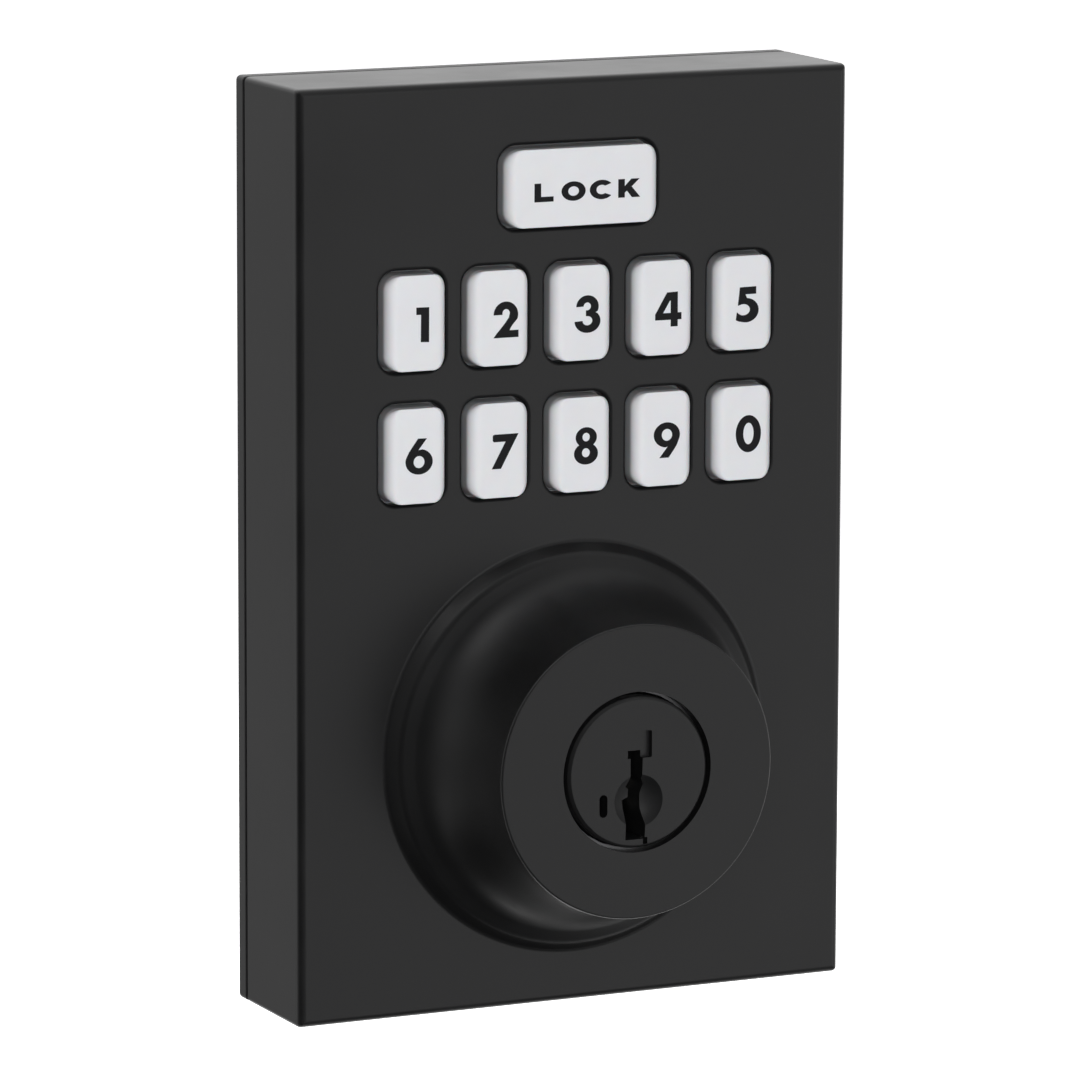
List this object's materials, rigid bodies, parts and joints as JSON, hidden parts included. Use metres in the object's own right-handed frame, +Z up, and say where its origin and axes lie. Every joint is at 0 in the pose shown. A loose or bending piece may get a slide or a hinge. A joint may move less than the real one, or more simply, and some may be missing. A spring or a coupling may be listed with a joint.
{
  "type": "keypad smart lock",
  "caption": "Outside unit of a keypad deadbolt: boxed housing with numbered push keys, a lock key, a domed key cylinder, mounting posts and a torque blade for the latch.",
  "frame": {"origin": "where the key cylinder's axis meets the plane of the door's face, which is the centre of the door's cross bore", "axes": "+Y into the door along the cylinder's axis, +Z up, +X to the right as seen from outside"},
  "size_m": [0.08, 0.0976, 0.124],
  "materials": {
    "black_paint": "fine matt powder coat, very dark charcoal",
    "plug_black": "fine matt coating, very dark charcoal",
    "key_white": "translucent cool white silicone-like moulding, satin",
    "screw_steel": "zinc-plated, satin",
    "pin_nickel": "nickel silver, satin",
    "spring_steel": "bright drawn wire",
    "grey_rubber": "matt moulded silicone",
    "board_green": "glass-fibre laminate with green mask",
    "black_plastic": "fine moulded texture",
    "cream_plastic": "natural nylon",
    "back_plate_black": "black moulded plastic, fine texture",
    "black_rubber": "matt black elastomer",
    "cast_zinc": "die-cast zinc, dull",
    "plated_steel": "zinc-plated pressed steel",
    "brass": "machined brass",
    "blade_steel": "zinc-plated drawn bar"
  },
  "bodies": {
    "lock_body": {"front_housing": "black_paint", "keypad_membrane": "grey_rubber", "circuit_board": "board_green", "control_chip": "black_plastic", "cable_socket": "cream_plastic", "board_retainer": "black_plastic", "back_plate": "back_plate_black", "door_gasket": "black_rubber", "cable_grommet": "black_rubber", "cylinder_shell": "cast_zinc", "cylinder_carrier": "plated_steel", "mounting_post_left": "plated_steel", "mounting_post_right": "plated_steel", "plug_clip": "spring_steel", "board_screw_1": "screw_steel", "board_screw_2": "screw_steel", "board_screw_3": "screw_steel", "board_screw_4": "screw_steel", "plate_screw_1": "screw_steel", "plate_screw_2": "screw_steel", "plate_screw_3": "screw_steel", "plate_screw_4": "screw_steel", "carrier_screw_1": "screw_steel", "carrier_screw_2": "screw_steel"},
    "key_1": {"key_1": "key_white"},
    "key_2": {"key_2": "key_white"},
    "key_3": {"key_3": "key_white"},
    "key_4": {"key_4": "key_white"},
    "key_5": {"key_5": "key_white"},
    "key_6": {"key_6": "key_white"},
    "key_7": {"key_7": "key_white"},
    "key_8": {"key_8": "key_white"},
    "key_9": {"key_9": "key_white"},
    "key_0": {"key_0": "key_white"},
    "key_lock": {"key_lock": "key_white"},
    "plug": {"key_plug": "plug_black", "spring_cover": "brass", "sidebar_spring_1": "spring_steel", "sidebar_spring_2": "spring_steel", "pin_spring_1": "spring_steel", "pin_spring_2": "spring_steel", "pin_spring_3": "spring_steel", "pin_spring_4": "spring_steel", "pin_spring_5": "spring_steel"},
    "key_pin_1": {"key_pin_1": "pin_nickel"},
    "key_pin_2": {"key_pin_2": "pin_nickel"},
    "key_pin_3": {"key_pin_3": "pin_nickel"},
    "key_pin_4": {"key_pin_4": "pin_nickel"},
    "key_pin_5": {"key_pin_5": "pin_nickel"},
    "sidebar": {"sidebar": "brass"},
    "blade": {"torque_blade": "blade_steel", "blade_driver": "cast_zinc"}
  },
  "joints": [
    {"name": "key_1_press", "type": "slide", "parent": "lock_body", "child": "key_1", "axis": [0, 1, 0], "range_m": [0, 0.0009], "stiffness_N_per_m": 1000, "springref_m": -0.001},
    {"name": "key_2_press", "type": "slide", "parent": "lock_body", "child": "key_2", "axis": [0, 1, 0], "range_m": [0, 0.0009], "stiffness_N_per_m": 1000, "springref_m": -0.001},
    {"name": "key_3_press", "type": "slide", "parent": "lock_body", "child": "key_3", "axis": [0, 1, 0], "range_m": [0, 0.0009], "stiffness_N_per_m": 1000, "springref_m": -0.001},
    {"name": "key_4_press", "type": "slide", "parent": "lock_body", "child": "key_4", "axis": [0, 1, 0], "range_m": [0, 0.0009], "stiffness_N_per_m": 1000, "springref_m": -0.001},
    {"name": "key_5_press", "type": "slide", "parent": "lock_body", "child": "key_5", "axis": [0, 1, 0], "range_m": [0, 0.0009], "stiffness_N_per_m": 1000, "springref_m": -0.001},
    {"name": "key_6_press", "type": "slide", "parent": "lock_body", "child": "key_6", "axis": [0, 1, 0], "range_m": [0, 0.0009], "stiffness_N_per_m": 1000, "springref_m": -0.001},
    {"name": "key_7_press", "type": "slide", "parent": "lock_body", "child": "key_7", "axis": [0, 1, 0], "range_m": [0, 0.0009], "stiffness_N_per_m": 1000, "springref_m": -0.001},
    {"name": "key_8_press", "type": "slide", "parent": "lock_body", "child": "key_8", "axis": [0, 1, 0], "range_m": [0, 0.0009], "stiffness_N_per_m": 1000, "springref_m": -0.001},
    {"name": "key_9_press", "type": "slide", "parent": "lock_body", "child": "key_9", "axis": [0, 1, 0], "range_m": [0, 0.0009], "stiffness_N_per_m": 1000, "springref_m": -0.001},
    {"name": "key_0_press", "type": "slide", "parent": "lock_body", "child": "key_0", "axis": [0, 1, 0], "range_m": [0, 0.0009], "stiffness_N_per_m": 1000, "springref_m": -0.001},
    {"name": "key_lock_press", "type": "slide", "parent": "lock_body", "child": "key_lock", "axis": [0, 1, 0], "range_m": [0, 0.0009], "stiffness_N_per_m": 1000, "springref_m": -0.001},
    {"name": "plug_turn", "type": "hinge", "parent": "lock_body", "child": "plug", "pos_m": [0, -0.025, 0], "axis": [0, 1, 0], "range_deg": [-90, 90]},
    {"name": "key_pin_1_lift", "type": "slide", "parent": "plug", "child": "key_pin_1", "axis": [0, 0, 1], "range_m": [0, 0.0022], "stiffness_N_per_m": 100, "springref_m": -0.003, "deforming": ["pin_spring_1"]},
    {"name": "key_pin_2_lift", "type": "slide", "parent": "plug", "child": "key_pin_2", "axis": [0, 0, 1], "range_m": [0, 0.0022], "stiffness_N_per_m": 100, "springref_m": -0.003, "deforming": ["pin_spring_2"]},
    {"name": "key_pin_3_lift", "type": "slide", "parent": "plug", "child": "key_pin_3", "axis": [0, 0, 1], "range_m": [0, 0.0022], "stiffness_N_per_m": 100, "springref_m": -0.003, "deforming": ["pin_spring_3"]},
    {"name": "key_pin_4_lift", "type": "slide", "parent": "plug", "child": "key_pin_4", "axis": [0, 0, 1], "range_m": [0, 0.0022], "stiffness_N_per_m": 100, "springref_m": -0.003, "deforming": ["pin_spring_4"]},
    {"name": "key_pin_5_lift", "type": "slide", "parent": "plug", "child": "key_pin_5", "axis": [0, 0, 1], "range_m": [0, 0.0022], "stiffness_N_per_m": 100, "springref_m": -0.003, "deforming": ["pin_spring_5"]},
    {"name": "sidebar_retract", "type": "slide", "parent": "plug", "child": "sidebar", "axis": [1, 0, 0], "range_m": [0, 0.0009], "stiffness_N_per_m": 150, "springref_m": -0.002, "deforming": ["sidebar_spring_1", "sidebar_spring_2"]},
    {"name": "blade_turn", "type": "hinge", "parent": "lock_body", "child": "blade", "pos_m": [0, 0.02, 0], "axis": [0, 1, 0], "range_deg": [-90, 90]}
  ]
}
